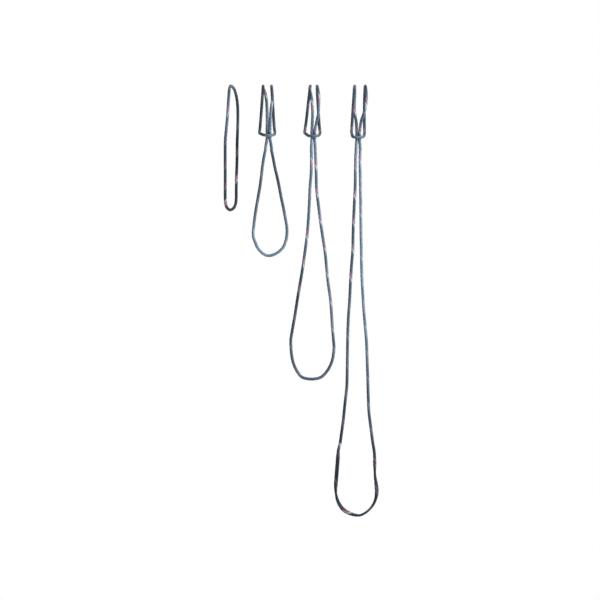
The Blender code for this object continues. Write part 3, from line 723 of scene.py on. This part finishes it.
def mark_tracers(cord, number, stretches, marks=()):
    """Brings a sling's tracers to its marks, and sets how light its cord is, with painted light and
    shade.
    """
    marks = list(marks)
    for stretch, height, *look in MARKS[number]:
        marks.append((cord.ring_by_height(*stretches[stretch], height), *look))
    cord.surface_tracers([ring for ring, order, *_ in marks if order])
    cord.dye_with_painted_light(marks)


def hitched_cord(number):
    """A girth-hitched sling's cord, and the runs at which its pieces begin.

    It starts at the foot of the right throat, goes up the front, over and down the back,
    through the collar from right to left, round again, and down the left side of the loop.
    """
    reach, spread, opening, left_wrap, right_wrap, collar, loop = HITCHED[number]
    pivot = np.array(JOINT_PLACES[f"neck_{number}_swing"])
    join = np.array(JOINT_PLACES[f"loop_{number}_twist"])
    choke = pivot + np.array((0, 0, PIVOT_DROP))
    drop = reach + join[2]

    def throat(side):
        end = pivot + np.array(
            (side * LEG_SHARE * CORD_DIAMETER, 0, CORD_DIAMETER / 2 + FACE_GAP)
        )
        rise = [end, end + UP * END_STUB]
        for back, high in THROAT_SHARES:
            rise.append(choke + np.array((side * LEG_SHARE, back, high)) * CORD_DIAMETER)
        return rise

    def wrap(shares):
        return [round_anchor(turn, pivot[0] + x * CORD_DIAMETER) for turn, x in shares]

    def neck(side):
        top = pivot + np.array((side * LEG_SHARE * CORD_DIAMETER, 0, 0))
        stub = join + np.array((side * opening, 0, END_STUB))
        return [top, (top + stub) / 2, stub]

    def stub_below(side):
        return [join + np.array((side * opening, 0, -END_STUB))]

    around = [choke + np.array(place) * CORD_DIAMETER for place in collar]
    below = [join + np.array((x * spread, 0, -z * drop)) for x, z in loop]
    right_throat, left_stub = throat(1), stub_below(-1)
    parts = [
        right_throat + wrap(right_wrap), around[::-1], (throat(-1) + wrap(left_wrap))[::-1],
        neck(-1), left_stub + below + stub_below(1), neck(1)[::-1],
    ]
    starts = np.cumsum([0] + [len(part) for part in parts])
    _, collar_start, left_start, neck_start, below_start, rise_start, _ = starts
    cord = EndlessCord([p for part in parts for p in part], bpy.context.scene.sling_cord)
    runs = cord.route_runs
    crest = len(right_throat) + len(right_wrap) // 2
    left_crest = left_start + len(left_wrap) // 2
    loop_start = below_start + len(left_stub)
    foot = loop_start + int(np.argmax([z for _, z in loop]))
    cord.hitch_end = runs[neck_start - 1]
    cord.left_neck = runs[neck_start + 1]
    cord.right_neck = runs[rise_start + 1]
    if number == 4:
        splice = loop_start + len(LEFT_LEG_4_SHARES)
        cord.splice_start = runs[splice]
        cord.splice_end = runs[splice + len(SPLICE_4_SHARES) - 1]
    cord.pivot = pivot
    cord.join = join
    stretches = {
        "right_front": (0.0, runs[crest]),
        "left_front": (runs[left_crest], cord.hitch_end),
        "left_leg": (cord.left_neck, runs[foot]),
        "right_leg": (runs[foot], cord.right_neck),
    }
    collar_marks = [
        (cord.ring_at(runs[collar_start + point]), None, *COLLAR_BRIGHTNESS, tone)
        for point, tone in COLLAR_PAINTED_LIGHT
    ]
    mark_tracers(cord, number, stretches, collar_marks)
    return cord


CORDS = {}


def sling_cord(number):
    """A sling's cord, worked out once for each pitch and ring step."""
    sizes = bpy.context.scene.sling_cord
    key = (number, sizes.pitch, sizes.ring_step)
    if key not in CORDS:
        CORDS[key] = draped_cord() if number == 1 else hitched_cord(number)
    return CORDS[key]


class Nodes:
    """Adds and joins a surface's nodes."""

    def __init__(self, tree):
        self.tree = tree

    def add(self, kind, inputs=None, **settings):
        node = self.tree.nodes.new(kind)
        for name, value in settings.items():
            setattr(node, name, value)
        for name, value in (inputs or {}).items():
            if isinstance(value, bpy.types.NodeSocket):
                self.tree.links.new(value, node.inputs[name])
            else:
                node.inputs[name].default_value = value
        return node

    def mix(self, share, low, high):
        node = self.add("ShaderNodeMix", data_type="RGBA")
        for name, value in (("Factor", share), ("A", low), ("B", high)):
            socket = next(
                s for s in node.inputs if s.name == name and s.type == (
                    "VALUE" if name == "Factor" else "RGBA"
                )
            )
            if isinstance(value, bpy.types.NodeSocket):
                self.tree.links.new(value, socket)
            else:
                socket.default_value = value
        return next(s for s in node.outputs if s.type == "RGBA")

    def combine(self, operation, a, b):
        """One value from two."""
        return self.add("ShaderNodeMath", {0: a, 1: b}, operation=operation).outputs[0]

    def spread(self, value, ends, **settings):
        """Maps a value's range to another: from low and high, to low and high."""
        names = ("From Min", "From Max", "To Min", "To Max")
        inputs = {"Value": value, **dict(zip(names, ends))}
        return self.add("ShaderNodeMapRange", inputs, **settings).outputs[0]


def opaque(colour):
    return (*colour, 1.0)


def new_surface(name):
    """A new material, with its nodes and its shader."""
    made = bpy.data.materials.new(name)
    made.use_nodes = True
    nodes = Nodes(made.node_tree)
    return made, nodes, made.node_tree.nodes["Principled BSDF"]


def cord_surface():
    """Dyed braid: strands of four colours, each with filaments along it and painted shade at its
    edges, where it sinks into the grooves between strands.

    It is made once. New colours show after the material of this name is deleted.
    """
    found = bpy.data.materials.get("braided_cord")
    if found:
        return found
    colours = bpy.context.scene.sling_colours
    made, nodes, shader = new_surface("braided_cord")
    tint = nodes.add("ShaderNodeAttribute", attribute_name="strand_tint")
    lay = nodes.add("ShaderNodeAttribute", attribute_name="strand_lay")
    height = nodes.add("ShaderNodeAttribute", attribute_name="strand_height")
    masks = nodes.add("ShaderNodeSeparateColor", {0: tint.outputs["Color"]})
    stretched = nodes.add(
        "ShaderNodeMapping", {"Vector": lay.outputs["Vector"], "Scale": FILAMENT_STRETCH}
    )
    filament = nodes.add(
        "ShaderNodeTexNoise", {"Vector": stretched.outputs[0], **FILAMENT_NOISE}
    ).outputs[0]
    position = nodes.add("ShaderNodeTexCoord")
    cloud = nodes.add(
        "ShaderNodeTexNoise", {"Vector": position.outputs["Object"], **CLOUD_NOISE}
    ).outputs[0]
    yarn = nodes.mix(masks.outputs[2], opaque(colours.navy), opaque(colours.slate))
    # The tint's alpha makes the yarns lighter or darker: their own colour with painted light and
    # shade
    dyed_with_painted_light = nodes.add(
        "ShaderNodeVectorMath", {0: yarn, "Scale": tint.outputs["Alpha"]}, operation="SCALE"
    )
    colour = nodes.mix(masks.outputs[1], dyed_with_painted_light.outputs[0], opaque(colours.white))
    colour = nodes.mix(masks.outputs[0], colour, opaque(colours.tracer))
    streak = nodes.spread(filament, STREAK_RANGE)
    patch = nodes.spread(cloud, CLOUD_RANGE)
    # Painted shade: the yarns darken where the strand lies low, in the grooves between strands
    edge = nodes.spread(height.outputs["Fac"], GROOVE_SHADE_RANGE)
    yarn_variation_and_groove_shade = nodes.combine("MULTIPLY", nodes.combine("MULTIPLY", streak, patch), edge)
    shade = nodes.add("ShaderNodeVectorMath", {0: colour, "Scale": yarn_variation_and_groove_shade}, operation="SCALE")
    nodes.tree.links.new(shade.outputs[0], shader.inputs["Base Color"])
    rough = nodes.spread(filament, ROUGHNESS_RANGE)
    nodes.tree.links.new(rough, shader.inputs["Roughness"])
    bump = nodes.add("ShaderNodeBump", {"Height": filament, **FILAMENT_BUMP})
    nodes.tree.links.new(bump.outputs[0], shader.inputs["Normal"])
    shader.inputs["Specular IOR Level"].default_value = SPECULAR_LEVEL
    shader.inputs["Sheen Weight"].default_value = SHEEN_WEIGHT
    shader.inputs["Sheen Roughness"].default_value = SHEEN_ROUGHNESS
    made.diffuse_color = opaque(colours.navy)
    return made


class SLINGS_OT_draped(bpy.types.Operator):
    """Lays the shortest sling over the anchor"""

    bl_idname = "slings.draped"
    bl_label = "Draped sling"

    def execute(self, context):
        cord = sling_cord(1)
        piece = cord_piece("sling_1_cord", cord, 0, cord.count, cord_surface())
        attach(piece, "sling_1")
        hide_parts("sling_1_sheath", "sling_1_core")
        return {"FINISHED"}


def hitch_end_ring(cord):
    return cord.ring_at(cord.hitch_end)


class SLINGS_OT_hitches(bpy.types.Operator):
    """Ties the girth hitches of the three longer slings"""

    bl_idname = "slings.hitches"
    bl_label = "Girth hitches"

    def execute(self, context):
        for number in HITCHED:
            cord = sling_cord(number)
            last = hitch_end_ring(cord)
            name = f"sling_{number}_hitch"
            piece = cord_piece(name + "_cord", cord, 0, last, cord_surface())
            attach(piece, "hitches")
            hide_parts(name + "_sheath", name + "_core")
        return {"FINISHED"}


class SLINGS_OT_necks(bpy.types.Operator):
    """Lays the legs just under each collar"""

    bl_idname = "slings.necks"
    bl_label = "Necks"

    def execute(self, context):
        for number in HITCHED:
            cord = sling_cord(number)
            left = (hitch_end_ring(cord), cord.ring_at(cord.left_neck))
            right = (cord.ring_at(cord.right_neck), cord.count)
            for word, (first, last) in (("left", left), ("right", right)):
                name = f"sling_{number}_neck_{word}"
                piece = cord_piece(name + "_cord", cord, first, last, cord_surface())
                foot = cord.places[cord.ring_at(cord.left_neck)]
                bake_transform(piece)
                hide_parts(name + "_sheath", name + "_core")
        return {"FINISHED"}


def loop_blend(piece, cord):
    """Bakes a loop piece's placement into its mesh."""
    top = cord.places[cord.ring_at(cord.left_neck)]
    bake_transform(piece)


class SLINGS_OT_loops(bpy.types.Operator):
    """Hangs the plain loops of the second and third sling"""

    bl_idname = "slings.loops"
    bl_label = "Plain loops"

    def execute(self, context):
        for number in (2, 3):
            cord = sling_cord(number)
            first, last = cord.ring_at(cord.left_neck), cord.ring_at(cord.right_neck)
            name = f"sling_{number}_loop"
            piece = cord_piece(name + "_cord", cord, first, last, cord_surface())
            loop_blend(piece, cord)
            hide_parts(name + "_sheath", name + "_core")
        return {"FINISHED"}


class SLINGS_OT_spliced_loop(bpy.types.Operator):
    """Hangs the longest loop: two legs, and the twisting cover of its splice"""

    bl_idname = "slings.spliced_loop"
    bl_label = "Spliced loop"

    def execute(self, context):
        cord = sling_cord(4)
        start, end = cord.ring_at(cord.splice_start), cord.ring_at(cord.splice_end)
        legs = {
            "left": (cord.ring_at(cord.left_neck), start),
            "right": (end, cord.ring_at(cord.right_neck)),
        }
        for word, (first, last) in legs.items():
            name = f"sling_4_{word}_leg"
            piece = cord_piece(name + "_cord", cord, first, last, cord_surface())
            loop_blend(piece, cord)
            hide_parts(name + "_sheath", name + "_core")
        cover = cord_piece(
            "sling_4_splice_cord", cord, start, end, cord_surface(), spliced=True
        )
        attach(cover, "loop_4")
        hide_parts("sling_4_splice_cover")
        return {"FINISHED"}


def area_light(name, place, power, size):
    """A round lamp that faces the slings."""
    data = bpy.data.lights.new(name, "AREA")
    data.shape = "DISK"
    data.size = size
    data.energy = power
    light = bpy.data.objects.new(name, data)
    light.location = place
    light.rotation_euler = (STAGE_MIDDLE - Vector(place)).to_track_quat("-Z", "Y").to_euler()
    bpy.context.scene.collection.objects.link(light)


def seen_directly(nodes):
    """A share that is 1 for what the camera, a reflection or a transmission sees."""
    path = nodes.add("ShaderNodeLightPath")
    seen = nodes.combine(
        "MAXIMUM", path.outputs["Is Camera Ray"], path.outputs["Is Glossy Ray"]
    )
    return nodes.combine("MAXIMUM", seen, path.outputs["Is Transmission Ray"])


def show_white_where_seen(nodes, shown, white, share, end):
    """Mixes white into what a material or the world shows, by a share."""
    blend = nodes.add("ShaderNodeMixShader", {0: share, 1: shown, 2: white.outputs[0]})
    output = next(n for n in nodes.tree.nodes if n.type == end)
    nodes.tree.links.new(blend.outputs[0], output.inputs["Surface"])


def stage_floor(stage):
    """A pale round floor that turns plain white away from the slings."""
    mesh = bpy.data.meshes.new("floor")
    rim = [
        (FLOOR_RADIUS * math.cos(math.tau * k / FLOOR_SIDES),
         FLOOR_RADIUS * math.sin(math.tau * k / FLOOR_SIDES), 0.0)
        for k in range(FLOOR_SIDES)
    ]
    mesh.from_pydata(rim, [], [list(range(FLOOR_SIDES))])
    floor = bpy.data.objects.new("floor", mesh)
    floor.location = (0, 0, -stage.floor_drop)
    bpy.context.scene.collection.objects.link(floor)
    made, nodes, shader = new_surface("pale_floor")
    shader.inputs["Base Color"].default_value = opaque(stage.floor)
    shader.inputs["Roughness"].default_value = FLOOR_ROUGHNESS
    position = nodes.add("ShaderNodeTexCoord")
    far = nodes.add("ShaderNodeVectorMath", {0: position.outputs["Object"]}, operation="LENGTH")
    ease = nodes.spread(
        far.outputs["Value"], (FLOOR_PLAIN_RADIUS, FLOOR_WHITE_RADIUS),
        interpolation_type="SMOOTHSTEP",
    )
    share = nodes.combine("MULTIPLY", ease, seen_directly(nodes))
    glow = nodes.add("ShaderNodeEmission", {"Color": WHITE, "Strength": 1.0})
    show_white_where_seen(nodes, shader.outputs[0], glow, share, "OUTPUT_MATERIAL")
    mesh.materials.append(made)


def stage_world(stage):
    """Dim surroundings that look white."""
    world = bpy.data.worlds.new("studio")
    bpy.context.scene.world = world
    world.use_nodes = True
    nodes = Nodes(world.node_tree)
    dim = world.node_tree.nodes["Background"]
    dim.inputs["Color"].default_value = WHITE
    dim.inputs["Strength"].default_value = stage.ambient
    white = nodes.add("ShaderNodeBackground", {"Color": WHITE, "Strength": 1.0})
    show_white_where_seen(nodes, dim.outputs[0], white, seen_directly(nodes), "OUTPUT_WORLD")


class SLINGS_OT_stage(bpy.types.Operator):
    """Sets up the floor, the light and the camera"""

    bl_idname = "slings.stage"
    bl_label = "Stage"

    def execute(self, context):
        scene = context.scene
        stage = scene.sling_stage
        scene.view_settings.view_transform = "Standard"
        stage_floor(stage)
        stage_world(stage)
        area_light("key_light", KEY_PLACE, stage.key_power, KEY_SIZE)
        area_light("fill_light", FILL_PLACE, stage.fill_power, FILL_SIZE)
        area_light("back_light", BACK_PLACE, stage.back_power, BACK_SIZE)
        data = bpy.data.cameras.new("camera")
        data.lens = CAMERA_LENS
        data.clip_start, data.clip_end = CAMERA_CLIP
        camera = bpy.data.objects.new("camera", data)
        camera.location = CAMERA_PLACE
        camera.rotation_euler = (math.pi / 2, 0, 0)
        scene.collection.objects.link(camera)
        scene.camera = camera
        return {"FINISHED"}


class SLINGS_PT_panel(bpy.types.Panel):
    """Lists the slings' sizes, colours and pieces"""

    bl_idname = "SLINGS_PT_panel"
    bl_label = "Anchor slings"
    bl_space_type = "VIEW_3D"
    bl_region_type = "UI"
    bl_category = "Slings"

    def draw(self, context):
        layout = self.layout
        for group in (
            context.scene.sling_cord, context.scene.sling_colours, context.scene.sling_stage
        ):
            box = layout.box()
            for name in group.__annotations__:
                box.prop(group, name)
        for operator in OPERATORS:
            layout.operator(operator.bl_idname)


OPERATORS = (
    SLINGS_OT_draped, SLINGS_OT_hitches, SLINGS_OT_necks, SLINGS_OT_loops,
    SLINGS_OT_spliced_loop, SLINGS_OT_stage,
)
GROUPS = {"sling_cord": SlingCord, "sling_colours": SlingColours, "sling_stage": SlingStage}
CLASSES = (*GROUPS.values(), *OPERATORS, SLINGS_PT_panel)


def register():
    for kind in CLASSES:
        bpy.utils.register_class(kind)
    for name, group in GROUPS.items():
        setattr(bpy.types.Scene, name, bpy.props.PointerProperty(type=group))


def unregister():
    for name in GROUPS:
        delattr(bpy.types.Scene, name)
    for kind in reversed(CLASSES):
        bpy.utils.unregister_class(kind)


def main():
    register()
    bpy.ops.slings.draped()
    bpy.ops.slings.hitches()
    bpy.ops.slings.necks()
    bpy.ops.slings.loops()
    bpy.ops.slings.spliced_loop()
    bpy.ops.slings.stage()


if __name__ == "__main__":
    main()
